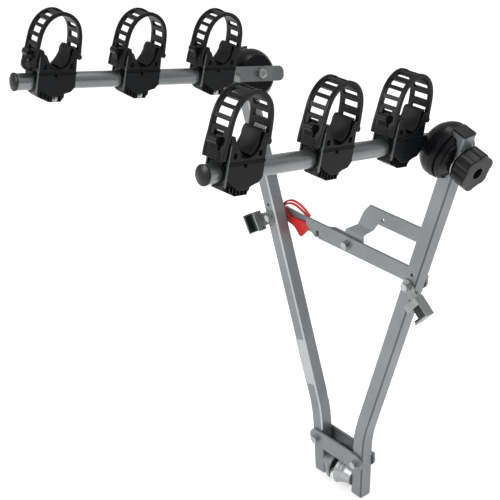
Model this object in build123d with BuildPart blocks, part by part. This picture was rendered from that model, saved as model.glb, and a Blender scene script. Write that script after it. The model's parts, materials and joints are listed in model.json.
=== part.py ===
from build123d import *
import os
from math import asin, atan2, cos, degrees, hypot, radians, sin, sqrt, tan

os.makedirs("parts", exist_ok=True)

# Tow-ball carrier for three bicycles. Millimetres, +Z up, the arms reach towards -Y,
# and the origin is the centre of the tow ball that the two cups close on.

# Clearances
bolt_gap = 0.05
slide_gap = 0.2
running_gap = 0.3
seat_gap = 0.1
overrun = 2.0

# Square leg tube: an almost upright foot, one large bend, a straight slanted upper part
leg_size = 25.0
leg_wall = 2.0
leg_corner = 3.0
leg_foot_lean = 2.46
leg_top_lean = 17.53
leg_bend_radius = 220.0
foot_pivot_x = 50.8
foot_pivot_z = 43.8
leg_below_pivot = 71.9
pivot_to_knee = 59.0
knee_to_brace = 365.7
brace_to_accessory = 21.8
knee_to_arm_pivot = 612.8
arm_pivot_to_tube_top = 43.8
accessory_hole_radius = 2.75
cap_thickness = 3.0
cap_plug_depth = 14.0
cap_plug_wall = 2.0
cap_edge = 1.0

# Hexagon bolts and nuts
bolt_radius = 4.0
head_across_flats = 13.0
head_height = 5.3
nut_height = 6.5
thread_end = 6.0
washer_radius = 8.0
washer_thickness = 1.6

# Foot: two pivot plates and two cups
plate_thickness = 4.0
foot_plate_height = 33.0
foot_plate_rise = 2.5
foot_ledge_depth = 10.0
foot_ledge_half_length = 22.0
ball_radius = 25.0
liner_thickness = 1.5
cup_rim_x = 5.8
cup_lip_radius = 28.8
cup_lip_length = 6.0
cup_waist_x = 16.0
cup_bulge_x = 22.0
cup_waist_radius = {"left": 26.0, "right": 25.2}
cup_bulge_radius = {"left": 21.5, "right": 25.8}
cup_back_radius = {"left": 12.5, "right": 24.0}
cup_throat_radius = 22.4
cup_lip_start = 18.0

# Brace between the legs
strut_height = 28.0
strut_end_radius = 14.0
strut_left_reach = 101.5
strut_end_slope = 22.0
lever_pivot_x = -1.5
lever_pivot_drop = 1.8
lever_pin_x = -70.8
lever_pin_drop = 7.5
pin_radius = 4.0
pin_head_radius = 6.5
pin_head_height = 3.0
pin_notch_width = 12.0
pin_boss_radius = 12.0
hub_overlap = 2.0
handle_step = 10.0
step_start_rise = 24.0
step_end_rise = 36.0
handle_top_rise = 79.5
handle_bar_height = 27.0
handle_end_x = 163.0
handle_left_x = 24.0
handle_right_x = 55.0
handle_hang_hole_x = 66.7
handle_hang_hole_drop = 16.1
handle_hang_hole_radius = 3.5
handle_corner = 13.0
handle_top_corner = 26.0
handle_end_corner = 9.0
link_width = 26.0
link_spacer_radius = 5.0
strap_depth = 4.0
strap_outline_shares = (
    (-0.79, 0.07), (-0.43, 0.45), (-0.15, 0.72), (0.33, 0.99), (0.87, 1.07), (1.4, 0.94),
    (1.92, 0.74), (2.31, 0.61), (2.74, 0.4), (2.9, 0.12), (2.74, -0.2), (2.29, -0.4),
    (1.86, -0.71), (1.61, -1.15), (1.35, -1.31), (1.06, -1.21), (0.79, -0.96), (0.4, -0.84),
    (-0.07, -0.81), (-0.39, -0.6), (-0.64, -0.33),
)
strap_opening_shares = (
    (-0.44, 0.16), (-0.06, 0.48), (0.52, 0.67), (1.13, 0.66), (1.65, 0.47), (2.21, 0.23),
    (2.56, 0.04), (2.17, -0.11), (1.63, -0.19), (1.21, -0.36), (0.75, -0.44), (0.29, -0.4),
    (-0.08, -0.31), (-0.37, -0.11),
)

# Clip brackets on the legs' rear faces
clip_ear_radius = 11.0
clip_sheet = 2.5
clip_width = 34.0
clip_first_wall = 24.0
clip_second_wall = 58.0
clip_wall_height = 16.0
clip_pad_thickness = 3.5
clip_left_drop = 30.0
clip_right_drop = 41.0

# Arm joints: axes square to the slanted legs
arm_pitch = degrees(asin(0.219))
arm_inset = 45.3
disc_radius = 43.0
disc_split = 10.0
tooth_count = 36
tooth_depth = 1.2
tooth_inner = 28.0
tooth_outer = 38.0
tooth_gap = 2.4
dome_top_radius = 31.0
dome_outline_shares = ((0.3, 0.965), (0.65, 0.87))
housing_reach = 6.5
housing_end_radius = 24.0
housing_steps = (
    (-3.0, 30.0), (-1.5, 31.5), (-1.0, 35.5), (2.0, 37.5), (4.5, 39.0), (5.0, 36.0), (7.5, 36.5), (8.0, 41.0),
)
housing_shoulder_inset = 15.0
arm_bolt_radius = 5.0
arm_head_across_flats = 16.0
knob_radius = 31.0
knob_core_radius = 27.5
knob_lobe_radius = 11.0
knob_lobes = 6
knob_start = 4.5
knob_length = 25.5
knob_recess_radius = 9.0
knob_recess_depth = 12.5
knob_edge = 2.5
knob_hub_radius = 14.0

# Round arm tube with a flattened root
arm_diameter = 25.0
arm_wall = 1.5
arm_length = 443.5
arm_tail = 48.0
arm_flat_thickness = 5.0
arm_flat_end = 42.0
arm_round_start = 60.0
arm_tail_corner = 10.0
arm_cap_lip = 1.0
arm_cap_length = 5.0
arm_cap_dome = 3.0
arm_cap_plug = 18.0

# Cradles: a slotted body round the tube, a V saddle, two pads and a ladder strap
cradle_length = 61.0
cradle_width = 37.0
cradle_parting = 17.0
saddle_height = 50.0
saddle_tab_top = 6.0
saddle_tab_corner = 2.0
saddle_floor = 20.5
saddle_hollow_radius = 20.5
saddle_hollow_end = 8.0
pad_width = 31.0
pad_thickness = 2.5
pad_low_end = -76.0
pad_high_end = 6.0
side_pocket_length = 6.0
side_pocket_height = 7.0
side_pocket_depth = 3.0
side_pocket_along = 21.0
side_pocket_rise = 25.5
collar_radius = 16.5
collar_length = 3.0
shell_underside = (
    (30.5, -2.0), (25.0, -9.0), (8.0, -20.0), (-5.0, -20.0), (-14.0, -15.5), (-24.0, -13.0), (-30.5, -6.0),
)
shell_lobe = ((29.0, -9.0), (26.0, -21.0), (8.0, -29.0), (-12.0, -28.5), (-17.0, -23.0), (-18.0, -9.0))
shell_lobe_half_width = 11.5
ladder_thickness = 4.5
ladder_outline = (
    (40.5, 19.0), (38.5, 36.0), (35.6, 50.0), (31.5, 72.0), (25.0, 87.0), (13.0, 99.0), (-3.0, 104.0),
    (-20.0, 98.5), (-31.5, 85.5), (-35.6, 69.0), (-35.8, 54.0), (-35.6, 38.0),
)
ladder_slot_width = 25.0
ladder_slot_height = 8.5
ladder_hub_rise = 66.0
ladder_front_slots = (-4.5, 21.5, 46.0, 71.0, 96.0)
ladder_back_slots = (-25.5, 5.0, 31.0)
button_width = 16.0
button_low = 31.0
button_high = 48.0
button_depth = 11.0
button_slit = 6.0
tooth_bar_width = 14.0
tooth_bar_low = 47.0
tooth_bar_high = 50.0
tooth_bar_depth = 5.5
left_station_shares = (0.2165, 0.5389, 0.8681)
right_station_shares = (0.1849, 0.5141, 0.8839)

# Places that follow from the sizes
sides = {"left": -1, "right": 1}
foot_lean = radians(leg_foot_lean)
top_lean = radians(leg_top_lean)
half_leg = leg_size / 2
knee_x = foot_pivot_x + pivot_to_knee * sin(foot_lean)
knee_z = foot_pivot_z + pivot_to_knee * cos(foot_lean)
leg_end_x = foot_pivot_x - leg_below_pivot * sin(foot_lean)
leg_end_z = foot_pivot_z - leg_below_pivot * cos(foot_lean)
brace_x = knee_x + knee_to_brace * sin(top_lean)
brace_z = knee_z + knee_to_brace * cos(top_lean)
tube_top = knee_to_arm_pivot + arm_pivot_to_tube_top
plate_face = half_leg + running_gap
strut_face = half_leg + running_gap
lever_face = strut_face + plate_thickness + running_gap
link_face = lever_face + plate_thickness + running_gap
lever_pivot_z = brace_z - lever_pivot_drop
lever_pin_z = brace_z - lever_pin_drop


def finish(piece, name):
    """Name the finished piece and write it."""
    piece.part.label = name
    export_step(piece.part, f"parts/{name}.step")


def rear_plane(y):
    """Sketch x and y are the rack's x and z; the normal points to the rear, -Y."""
    return Plane.XZ.offset(-y)


def leg_point(side, along):
    """A point of the upper leg's axis, measured up from the knee."""
    return Vector(side * (knee_x + along * sin(top_lean)), 0, knee_z + along * cos(top_lean))


def leg_section(side, along):
    """Plane square to the upper leg."""
    return Plane(
        origin=leg_point(side, along), x_dir=(0, 1, 0), z_dir=(side * sin(top_lean), 0, cos(top_lean))
    )


def arm_directions(side):
    """Across (towards +X), up, and along the arm; all square to each other."""
    pitch = radians(arm_pitch)
    across = Vector(cos(top_lean), 0, -side * sin(top_lean))
    along = Vector(side * sin(top_lean) * sin(pitch), -cos(pitch), cos(top_lean) * sin(pitch))
    return across, along.cross(across), along


def arm_point(side, inset, along):
    """A point at a distance inwards from the leg's axis and along the arm from its pivot."""
    across, up, direction = arm_directions(side)
    return leg_point(side, knee_to_arm_pivot) - across * (side * inset) + direction * along


def disc_plane(side, inset):
    """Plane square to the arm's pivot, its normal towards the middle of the rack."""
    across, up, along = arm_directions(side)
    return Plane(origin=arm_point(side, inset, 0), x_dir=up, z_dir=across * -side)


def arm_section(side, along):
    """Plane square to the arm: sketch x goes across, sketch y up."""
    across, up, direction = arm_directions(side)
    return Plane(origin=arm_point(side, arm_inset, along), x_dir=across, z_dir=direction)


def cradle_directions(side):
    """The cradles stand upright on the slanted arms: level across, up, along."""
    across, up, along = arm_directions(side)
    level = (Vector(1, 0, 0) - along * along.X).normalized()
    return level, along.cross(level), along


def cradle_side(side, station, offset):
    """Plane along the arm through a cradle: sketch x along, sketch y up, normal level."""
    level, up, along = cradle_directions(side)
    origin = arm_point(side, arm_inset, station) + level * offset
    return Plane(origin=origin, x_dir=along, z_dir=level * -1)


def cradle_section(side, station, along_offset):
    """Plane square to the arm through a cradle: sketch x level, sketch y up."""
    level, up, along = cradle_directions(side)
    return Plane(origin=arm_point(side, arm_inset, station + along_offset), x_dir=level, z_dir=along)


def hex_bolt(x, z, head_y, grip_end, with_nut):
    """Hexagon bolt along Y with its head to the rear, and its nut and washers."""
    with BuildPart() as bolt:
        with BuildSketch(rear_plane(head_y)):
            with Locations((x, z)):
                Circle(washer_radius)
        extrude(amount=washer_thickness)
        with BuildSketch(rear_plane(head_y - washer_thickness)):
            with Locations((x, z)):
                RegularPolygon(head_across_flats / 2, 6, major_radius=False)
        extrude(amount=head_height)
        tail = nut_height + thread_end if with_nut else 0
        with BuildSketch(rear_plane(grip_end + tail)):
            with Locations((x, z)):
                Circle(bolt_radius)
        extrude(amount=grip_end + tail - head_y)
        if with_nut:
            with BuildSketch(rear_plane(grip_end + nut_height)):
                with Locations((x, z)):
                    RegularPolygon(head_across_flats / 2, 6, major_radius=False)
            extrude(amount=nut_height)
    return bolt.part


def make_leg(side, name):
    """Bent square tube with its bolt holes."""
    with BuildPart() as leg:
        foot_end = Plane(
            origin=(side * leg_end_x, 0, leg_end_z),
            x_dir=(0, 1, 0),
            z_dir=(side * sin(foot_lean), 0, cos(foot_lean)),
        )
        with BuildLine() as run:
            FilletPolyline(
                foot_end.origin,
                (side * knee_x, 0, knee_z),
                leg_point(side, tube_top),
                radius=leg_bend_radius,
            )
        with BuildSketch(foot_end):
            RectangleRounded(leg_size, leg_size, leg_corner)
        sweep(path=run.wires()[0])
        with BuildSketch(foot_end):
            RectangleRounded(leg_size - 2 * leg_wall, leg_size - 2 * leg_wall, leg_corner - leg_wall)
        sweep(path=run.wires()[0], mode=Mode.SUBTRACT)
        accessory = leg_point(side, knee_to_brace + brace_to_accessory)
        with BuildSketch(Plane.XZ):
            with Locations((side * foot_pivot_x, foot_pivot_z), (side * brace_x, brace_z)):
                Circle(bolt_radius + bolt_gap)
            with Locations((accessory.X, accessory.Z)):
                Circle(accessory_hole_radius)
        extrude(amount=leg_size, both=True, mode=Mode.SUBTRACT)
        with BuildSketch(disc_plane(side, 0)):
            Circle(arm_bolt_radius + bolt_gap)
        extrude(amount=leg_size, both=True, mode=Mode.SUBTRACT)
    finish(leg, f"{name}_leg")


def make_leg_cap(side, name):
    """Square plug with a bevelled plate over the tube's end."""
    with BuildPart() as cap:
        with BuildSketch(leg_section(side, tube_top)):
            RectangleRounded(leg_size, leg_size, leg_corner)
        extrude(amount=cap_thickness)
        top = cap.faces().sort_by(Axis(leg_point(side, tube_top), leg_section(side, 0).z_dir))[-1]
        chamfer(top.edges(), length=cap_edge)
        plug = leg_size - 2 * leg_wall - 2 * seat_gap
        with BuildSketch(leg_section(side, tube_top)):
            RectangleRounded(plug, plug, leg_corner - leg_wall)
            Rectangle(plug - 2 * cap_plug_wall, plug - 2 * cap_plug_wall, mode=Mode.SUBTRACT)
        extrude(amount=-cap_plug_depth)
    finish(cap, f"{name}_leg_cap")


def make_rear_foot_plate():
    """Flat bar with round ends across the rear of both legs."""
    with BuildPart() as plate:
        with BuildSketch(rear_plane(-plate_face)):
            with Locations((0, foot_pivot_z + foot_plate_rise)):
                SlotCenterToCenter(2 * foot_pivot_x, foot_plate_height)
            with Locations((-foot_pivot_x, foot_pivot_z), (foot_pivot_x, foot_pivot_z)):
                Circle(bolt_radius + bolt_gap, mode=Mode.SUBTRACT)
        extrude(amount=plate_thickness)
    finish(plate, "rear_foot_plate")


def make_front_foot_plate():
    """The same bar in front, with a ledge bent in under it between the legs."""
    ledge_z = foot_pivot_z + foot_plate_rise - foot_plate_height / 2
    with BuildPart() as plate:
        with BuildSketch(rear_plane(plate_face + plate_thickness)):
            with Locations((0, foot_pivot_z + foot_plate_rise)):
                SlotCenterToCenter(2 * foot_pivot_x, foot_plate_height)
            with Locations((-foot_pivot_x, foot_pivot_z), (foot_pivot_x, foot_pivot_z)):
                Circle(bolt_radius + bolt_gap, mode=Mode.SUBTRACT)
        extrude(amount=plate_thickness)
        with BuildSketch(rear_plane(plate_face)):
            with Locations((0, ledge_z + plate_thickness / 2)):
                Rectangle(2 * foot_ledge_half_length, plate_thickness)
        extrude(amount=foot_ledge_depth)
    finish(plate, "front_foot_plate")


def make_foot_pivot_bolts():
    """Two bolts that the legs turn on, each with its washer and nut."""
    outer = plate_face + plate_thickness
    bolts = [hex_bolt(s * foot_pivot_x, foot_pivot_z, -outer, outer, True) for s in sides.values()]
    with BuildPart() as pair:
        for bolt in bolts:
            add(bolt)
    finish(pair, "foot_pivot_bolts")


def open_throat(depth):
    """Cut a cup or its lining open below, so that the ball leaves once the cups swing apart."""
    with BuildSketch(Plane.XY) as throat:
        Circle(ball_radius + seat_gap)
        Rectangle(2 * cup_lip_start, 2 * depth, mode=Mode.INTERSECT)
        Circle(cup_throat_radius)
    return throat.sketch


def make_cup(side, name):
    """Cast cup that closes on half of the ball, with an open throat below."""
    hollow = ball_radius + seat_gap + liner_thickness + seat_gap
    back_x = foot_pivot_x - foot_pivot_z * tan(foot_lean) - half_leg / cos(foot_lean)
    rim = sqrt(hollow ** 2 - cup_rim_x ** 2)
    with BuildPart() as cup:
        with BuildSketch(Plane.XY):
            with BuildLine():
                Polyline(
                    (cup_rim_x, rim),
                    (cup_rim_x, cup_lip_radius),
                    (cup_rim_x + cup_lip_length, cup_lip_radius),
                )
                Spline(
                    (cup_rim_x + cup_lip_length, cup_lip_radius),
                    (cup_waist_x, cup_waist_radius[name]),
                    (cup_bulge_x, cup_bulge_radius[name]),
                    (back_x + cup_lip_length, cup_back_radius[name]),
                )
                Polyline(
                    (back_x + cup_lip_length, cup_back_radius[name]),
                    (back_x + cup_lip_length, 0),
                    (hollow, 0),
                )
                RadiusArc((hollow, 0), (cup_rim_x, rim), -hollow)
            make_face()
        revolve(axis=Axis.X)
        extrude(open_throat(cup_lip_radius), amount=-cup_lip_radius, mode=Mode.SUBTRACT)
        leg_face = Plane(
            origin=(back_x, 0, 0), x_dir=(0, 1, 0), z_dir=(cos(foot_lean), 0, -sin(foot_lean))
        )
        split(bisect_by=leg_face, keep=Keep.BOTTOM)
        if side < 0:
            mirror(about=Plane.YZ, mode=Mode.REPLACE)
    finish(cup, f"{name}_cup")


def make_cup_liner(side, name):
    """Rubber lining of the cup, a band of the ball's sphere."""
    outer = ball_radius + seat_gap + liner_thickness
    inner = ball_radius + seat_gap
    with BuildPart() as liner:
        with BuildSketch(Plane.XY):
            with BuildLine():
                rim_out = sqrt(outer ** 2 - cup_rim_x ** 2)
                rim_in = sqrt(inner ** 2 - cup_rim_x ** 2)
                Line((cup_rim_x, rim_in), (cup_rim_x, rim_out))
                RadiusArc((cup_rim_x, rim_out), (outer, 0), outer)
                Line((outer, 0), (inner, 0))
                RadiusArc((inner, 0), (cup_rim_x, rim_in), -inner)
            make_face()
        revolve(axis=Axis.X)
        extrude(open_throat(cup_lip_radius), amount=-cup_lip_radius, mode=Mode.SUBTRACT)
        if side < 0:
            mirror(about=Plane.YZ, mode=Mode.REPLACE)
    finish(liner, f"{name}_cup_liner")


def make_strut_bar():
    """Flat bar from the right leg, with a notched left end that drops over the lever's pin."""
    low = lever_pivot_z - strut_height / 2
    with BuildPart() as strut:
        with BuildSketch(rear_plane(strut_face + plate_thickness)):
            with BuildLine():
                Polyline(
                    (brace_x, brace_z + strut_end_radius),
                    (-strut_left_reach, brace_z + strut_end_radius),
                    (-strut_left_reach, brace_z),
                    (-strut_left_reach + strut_end_slope, low),
                    (lever_pin_x - pin_notch_width / 2, low),
                    (lever_pin_x - pin_notch_width / 2, lever_pin_z),
                )
                ThreePointArc(
                    (lever_pin_x - pin_notch_width / 2, lever_pin_z),
                    (lever_pin_x, lever_pin_z + pin_notch_width / 2),
                    (lever_pin_x + pin_notch_width / 2, lever_pin_z),
                )
                Polyline(
                    (lever_pin_x + pin_notch_width / 2, lever_pin_z),
                    (lever_pin_x + pin_notch_width / 2, low),
                    (brace_x, brace_z - strut_end_radius),
                )
                ThreePointArc(
                    (brace_x, brace_z - strut_end_radius),
                    (brace_x + strut_end_radius, brace_z),
                    (brace_x, brace_z + strut_end_radius),
                )
            make_face()
            with Locations((brace_x, brace_z), (lever_pivot_x, lever_pivot_z)):
                Circle(bolt_radius + bolt_gap, mode=Mode.SUBTRACT)
        extrude(amount=plate_thickness)
    finish(strut, "strut_bar")


def make_brace_lever():
    """Stamped lever: short arm to the pin, neck, joggled upright and a long level grip."""
    top = brace_z + handle_top_rise
    grip_low = top - handle_bar_height
    neck_left = lever_pivot_x - strut_end_radius / 2
    neck_right = handle_left_x + strut_end_radius / 2
    step_low = brace_z + step_start_rise
    step_high = brace_z + step_end_rise
    far_face = lever_face + handle_step
    with BuildPart() as lever:
        with BuildSketch(Plane.XZ):
            with BuildLine():
                Polyline(
                    (lever_pin_x, lever_pin_z + pin_boss_radius),
                    (neck_left - strut_height, brace_z + strut_end_radius + hub_overlap),
                    (neck_left, brace_z + strut_end_radius + hub_overlap),
                    (neck_left, step_low),
                    (handle_left_x - strut_end_radius, step_high),
                    (handle_left_x, grip_low + pin_boss_radius),
                    (handle_left_x + handle_corner, top),
                    (handle_end_x, top),
                    (handle_end_x, grip_low),
                    (handle_right_x, grip_low),
                    (neck_right + handle_corner, step_high),
                    (neck_right, step_low),
                    (neck_right, lever_pivot_z - strut_end_radius),
                    (lever_pin_x, lever_pin_z - pin_boss_radius),
                )
                ThreePointArc(
                    (lever_pin_x, lever_pin_z - pin_boss_radius),
                    (lever_pin_x - pin_boss_radius, lever_pin_z),
                    (lever_pin_x, lever_pin_z + pin_boss_radius),
                )
            outline = make_face()
            grip_end = outline.vertices().sort_by(Axis.X)[-2:]
            fillet(grip_end, handle_end_corner)
            rounded = (
                ((handle_left_x, grip_low + pin_boss_radius), handle_corner),
                ((handle_left_x + handle_corner, top), handle_top_corner),
            )
            for corner, radius in rounded:
                nearest = outline.vertices().sort_by_distance((*corner, 0))[0]
                fillet(nearest, radius)
            inside = outline.vertices().sort_by_distance((handle_right_x, grip_low, 0))[0]
            fillet(inside, handle_corner)
            with Locations((lever_pivot_x, lever_pivot_z), (lever_pin_x, lever_pin_z)):
                Circle(bolt_radius + bolt_gap, mode=Mode.SUBTRACT)
            with Locations((handle_hang_hole_x, top - handle_hang_hole_drop)):
                Circle(handle_hang_hole_radius, mode=Mode.SUBTRACT)
        extrude(amount=-(far_face + plate_thickness + overrun))
        with BuildSketch(Plane.YZ):
            with BuildLine():
                Polyline(
                    (lever_face, lever_pin_z - strut_height),
                    (lever_face, step_low),
                    (far_face, step_high),
                    (far_face, top + overrun),
                    (far_face + plate_thickness, top + overrun),
                    (far_face + plate_thickness, step_high - plate_thickness / 2),
                    (lever_face + plate_thickness, step_low - plate_thickness / 2),
                    (lever_face + plate_thickness, lever_pin_z - strut_height),
                    close=True,
                )
            make_face()
        extrude(amount=handle_end_x + overrun, both=True, mode=Mode.INTERSECT)
    finish(lever, "brace_lever")


def make_brace_link():
    """Link between the left leg's bolt and the lever's pin."""
    dx = brace_x + lever_pin_x
    dz = lever_pin_z - brace_z
    with BuildPart() as link:
        with BuildSketch(rear_plane(link_face + plate_thickness)):
            with Locations(((lever_pin_x - brace_x) / 2, (lever_pin_z + brace_z) / 2)):
                SlotCenterToCenter(hypot(dx, dz), link_width, rotation=degrees(atan2(dz, dx)))
            with Locations((lever_pin_x, lever_pin_z)):
                Circle(pin_radius + bolt_gap, mode=Mode.SUBTRACT)
            with Locations((-brace_x, brace_z)):
                Circle(link_spacer_radius, mode=Mode.SUBTRACT)
        extrude(amount=plate_thickness)
    finish(link, "brace_link")


def make_link_pins():
    """Pin through lever and link, and the link's stud that stands against the left leg."""
    back = link_face + plate_thickness
    with BuildPart() as pins:
        with BuildSketch(rear_plane(back)):
            with Locations((lever_pin_x, lever_pin_z)):
                Circle(pin_radius)
        extrude(amount=back - lever_face)
        with BuildSketch(rear_plane(back + pin_head_height)):
            with Locations((lever_pin_x, lever_pin_z), (-brace_x, brace_z)):
                Circle(pin_head_radius)
        extrude(amount=pin_head_height)
        with BuildSketch(rear_plane(back)):
            with Locations((-brace_x, brace_z)):
                Circle(link_spacer_radius)
        extrude(amount=back - plate_face)
    finish(pins, "link_pins")


def make_lever_bolt():
    """Bolt that the lever turns on, headed on the rear side of the strut."""
    grip_end = lever_face + plate_thickness + seat_gap
    bolt = hex_bolt(lever_pivot_x, lever_pivot_z, strut_face, grip_end, True)
    with BuildPart() as lever_bolt:
        add(bolt)
    finish(lever_bolt, "lever_bolt")


def make_leg_bolt(side, name):
    """Bolt that holds the clip bracket, and on the right leg the strut as well."""
    head = -(plate_face + clip_sheet + seat_gap)
    grip_end = strut_face + plate_thickness + seat_gap if side > 0 else half_leg - seat_gap
    bolt = hex_bolt(side * brace_x, brace_z, head, grip_end, side > 0)
    with BuildPart() as leg_bolt:
        add(bolt)
    finish(leg_bolt, f"{name}_leg_bolt")


def strap_loop(shares):
    """Smooth closed outline round the link's stud, in the link's widths."""
    places = [(link_width * x - brace_x, brace_z + link_width * z) for x, z in shares]
    with BuildSketch(Plane.XY) as loop:
        with BuildLine():
            Spline(*places, periodic=True)
        make_face()
    return loop.sketch


def make_safety_strap():
    """Rubber loop round the link's stud, between link and leg, with its pull tab below."""
    with BuildPart() as strap:
        with BuildSketch(rear_plane(lever_face + strap_depth)):
            add(strap_loop(strap_outline_shares))
            add(strap_loop(strap_opening_shares), mode=Mode.SUBTRACT)
        extrude(amount=strap_depth)
    finish(strap, "safety_strap")


def clip_plane(side, drop):
    """Plane against the leg's rear face; sketch x runs outwards and down along the bracket."""
    slope = radians(drop)
    return Plane(
        origin=(side * brace_x, -plate_face, brace_z),
        x_dir=(side * cos(slope), 0, -sin(slope)),
        z_dir=(0, -1, 0),
    )


def make_clip_bracket(side, name, drop):
    """Bent sheet bracket: a round ear, a base and two walls that make a channel."""
    with BuildPart() as bracket:
        with BuildSketch(clip_plane(side, drop)):
            Circle(clip_ear_radius)
            with Locations((clip_second_wall / 2, 0)):
                Rectangle(clip_second_wall, 2 * clip_ear_radius)
            with Locations(((clip_first_wall + clip_second_wall) / 2, 0)):
                Rectangle(clip_second_wall - clip_first_wall, clip_width)
            Circle(bolt_radius + bolt_gap, mode=Mode.SUBTRACT)
        extrude(amount=clip_sheet)
        with BuildSketch(clip_plane(side, drop)):
            for wall in (clip_first_wall + clip_sheet / 2, clip_second_wall - clip_sheet / 2):
                with Locations((wall, 0)):
                    Rectangle(clip_sheet, clip_width)
        extrude(amount=clip_wall_height)
    finish(bracket, f"{name}_clip_bracket")


def make_clip_pad(side, name, drop):
    """Rubber lining of the bracket's channel."""
    length = clip_second_wall - clip_first_wall - 2 * clip_sheet - 2 * seat_gap
    centre = (clip_first_wall + clip_second_wall) / 2
    with BuildPart() as pad:
        with BuildSketch(clip_plane(side, drop).offset(clip_sheet)):
            with Locations((centre, 0)):
                Rectangle(length, clip_width - 2 * clip_sheet)
        extrude(amount=clip_wall_height - clip_sheet)
        with BuildSketch(clip_plane(side, drop).offset(clip_sheet + clip_pad_thickness)):
            with Locations((centre, 0)):
                Rectangle(length - 2 * clip_pad_thickness, clip_width)
        extrude(amount=clip_wall_height, mode=Mode.SUBTRACT)
    finish(pad, f"{name}_clip_pad")


def disc_teeth(side, face):
    """Radial slots cut into a disc half's face, which leave the clamping teeth."""
    with BuildSketch(disc_plane(side, face)) as slots:
        with PolarLocations((tooth_inner + tooth_outer) / 2, tooth_count):
            Rectangle(tooth_outer - tooth_inner, tooth_gap)
    return slots.sketch


def disc_profile_plane(side):
    """Plane through the arm's pivot; sketch x is the radius and sketch y the distance inwards."""
    plane = disc_plane(side, 0)
    return Plane(origin=plane.origin, x_dir=plane.x_dir, z_dir=plane.x_dir.cross(plane.z_dir))


def make_leg_disc(side, name):
    """Stepped housing that wraps the leg, toothed towards the arm."""
    face = half_leg + disc_split - running_gap / 2
    axis = Axis(disc_plane(side, 0).origin, disc_plane(side, 0).z_dir)
    with BuildPart() as disc:
        with BuildSketch(disc_profile_plane(side)):
            with BuildLine():
                Polyline(
                    (disc_radius, face),
                    (0, face),
                    (0, -housing_reach),
                    (housing_end_radius, -housing_reach),
                    *[(radius, inset) for inset, radius in housing_steps],
                    (disc_radius, housing_shoulder_inset),
                    close=True,
                )
            make_face()
        revolve(axis=axis)
        extrude(disc_teeth(side, face), amount=-tooth_depth, mode=Mode.SUBTRACT)
        with BuildSketch(disc_plane(side, 0)):
            Circle(arm_bolt_radius + bolt_gap)
        extrude(amount=disc_radius, both=True, mode=Mode.SUBTRACT)
        channel = leg_size + 2 * seat_gap
        with BuildSketch(leg_section(side, knee_to_arm_pivot)):
            Rectangle(channel, channel)
        extrude(amount=disc_radius, both=True, mode=Mode.SUBTRACT)
    finish(disc, f"{name}_leg_disc")


def make_arm_disc(side, name):
    """Domed half of the pivot disc that the arm's flat root lies against."""
    face = half_leg + disc_split + running_gap / 2
    back = arm_inset - arm_flat_thickness / 2
    axis = Axis(disc_plane(side, 0).origin, disc_plane(side, 0).z_dir)
    with BuildPart() as disc:
        with BuildSketch(disc_profile_plane(side)):
            with BuildLine():
                Spline(
                    (disc_radius, face),
                    *[(disc_radius * radius, face + (back - face) * way) for way, radius in dome_outline_shares],
                    (dome_top_radius, back),
                )
                Polyline((dome_top_radius, back), (0, back), (0, face), (disc_radius, face))
            make_face()
        revolve(axis=axis)
        extrude(disc_teeth(side, face), amount=tooth_depth, mode=Mode.SUBTRACT)
        with BuildSketch(disc_plane(side, 0)):
            Circle(arm_bolt_radius + bolt_gap)
        extrude(amount=arm_inset, mode=Mode.SUBTRACT)
    finish(disc, f"{name}_arm_disc")


def make_arm(side, name):
    """Round tube whose root is pressed flat and drilled for the pivot bolt."""
    with BuildPart() as arm:
        with BuildSketch(arm_section(side, arm_round_start)):
            Circle(arm_diameter / 2)
            Circle(arm_diameter / 2 - arm_wall, mode=Mode.SUBTRACT)
        extrude(amount=arm_length - arm_round_start)
        with BuildSketch(arm_section(side, arm_flat_end)):
            RectangleRounded(arm_flat_thickness, arm_diameter, arm_flat_thickness / 3)
        with BuildSketch(arm_section(side, arm_round_start)):
            Circle(arm_diameter / 2)
        loft()
        root = Plane(origin=arm_point(side, arm_inset, 0), x_dir=arm_directions(side)[2],
                     z_dir=disc_plane(side, 0).z_dir)
        with BuildSketch(root):
            with Locations(((arm_flat_end - arm_tail) / 2, 0)):
                RectangleRounded(arm_flat_end + arm_tail, arm_diameter, arm_tail_corner)
            with Locations((arm_flat_end / 2, 0)):
                Rectangle(arm_flat_end, arm_diameter)
            Circle(arm_bolt_radius + bolt_gap, mode=Mode.SUBTRACT)
        extrude(amount=arm_flat_thickness / 2, both=True)
    finish(arm, f"{name}_arm")


def make_arm_cap(side, name):
    """Domed plastic plug in the arm's open end."""
    bore = arm_diameter / 2 - arm_wall - seat_gap
    lip = arm_diameter / 2 + arm_cap_lip
    dome = (lip ** 2 + arm_cap_dome ** 2) / (2 * arm_cap_dome)
    plane = arm_section(side, arm_length)
    profile = Plane(origin=plane.origin, x_dir=plane.x_dir, z_dir=plane.x_dir.cross(plane.z_dir))
    with BuildPart() as cap:
        with BuildSketch(profile):
            with BuildLine():
                Polyline(
                    (0, arm_cap_length),
                    (0, -arm_cap_plug),
                    (bore, -arm_cap_plug),
                    (bore, 0),
                    (lip, 0),
                    (lip, arm_cap_length - arm_cap_dome),
                )
                ThreePointArc(
                    (lip, arm_cap_length - arm_cap_dome),
                    (lip / 2, arm_cap_length - dome + sqrt(dome ** 2 - lip ** 2 / 4)),
                    (0, arm_cap_length),
                )
            make_face()
        revolve(axis=Axis(plane.origin, plane.z_dir))
    finish(cap, f"{name}_arm_cap")


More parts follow.
